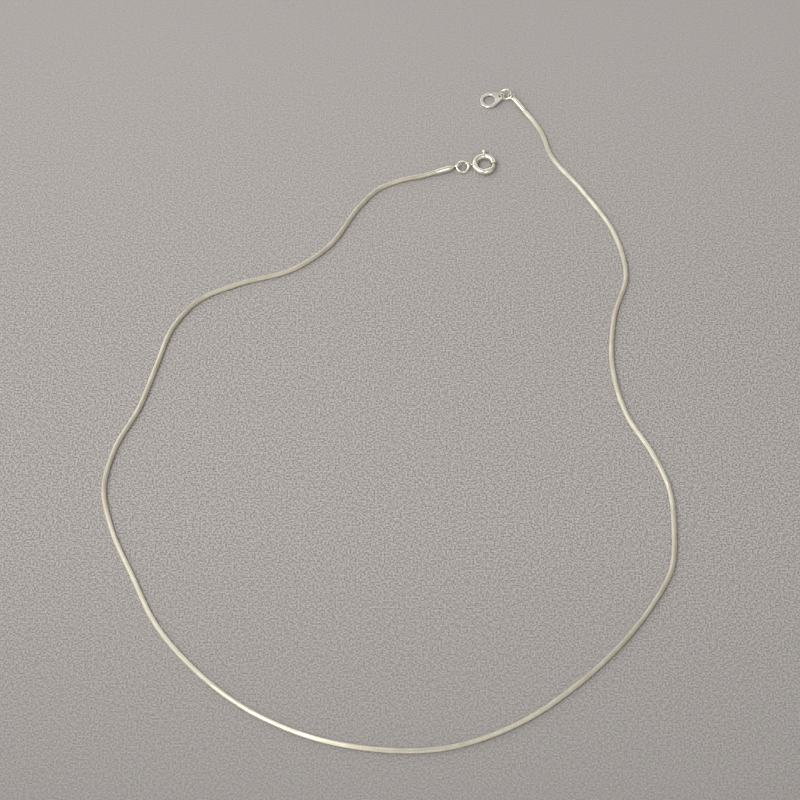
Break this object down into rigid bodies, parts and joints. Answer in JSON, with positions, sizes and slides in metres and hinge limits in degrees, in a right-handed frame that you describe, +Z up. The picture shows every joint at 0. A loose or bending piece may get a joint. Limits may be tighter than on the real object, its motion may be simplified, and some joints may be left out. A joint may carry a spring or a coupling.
{
  "type": "snake chain necklace",
  "caption": "Fine silver snake chain necklace, unclasped and lying in a loose loop, with tapered end sleeves, jump rings, a sprung ring clasp and a flat pierced end tag.",
  "frame": {"origin": "on the table under the middle of the whole necklace's bounding box", "axes": "+Z up from the table, +Y away from the viewer along the loop's longer side towards the open ends, +X to the viewer's right"},
  "size_m": [0.115, 0.1558, 0.0029],
  "materials": {
    "silver_chain": "fine facets, slightly warm silver",
    "silver_polished": "polished silver",
    "silver_wire": "drawn silver wire"
  },
  "bodies": {
    "necklace": {"snake_chain": "silver_chain", "clasp_sleeve": "silver_polished", "tag_sleeve": "silver_polished", "clasp_jump_ring": "silver_wire", "tag_jump_ring": "silver_wire", "spring_ring": "silver_polished", "end_tag": "silver_polished"},
    "bolt": {"ring_bolt": "silver_wire"}
  },
  "joints": [
    {"name": "bolt_pull", "type": "hinge", "parent": "necklace", "child": "bolt", "pos_m": [0.02093, 0.05817, 0.00082], "axis": [0, 0, 1], "range_deg": [0, 50], "stiffness_Nm_per_rad": 0.002, "springref_deg": -22.92}
  ]
}
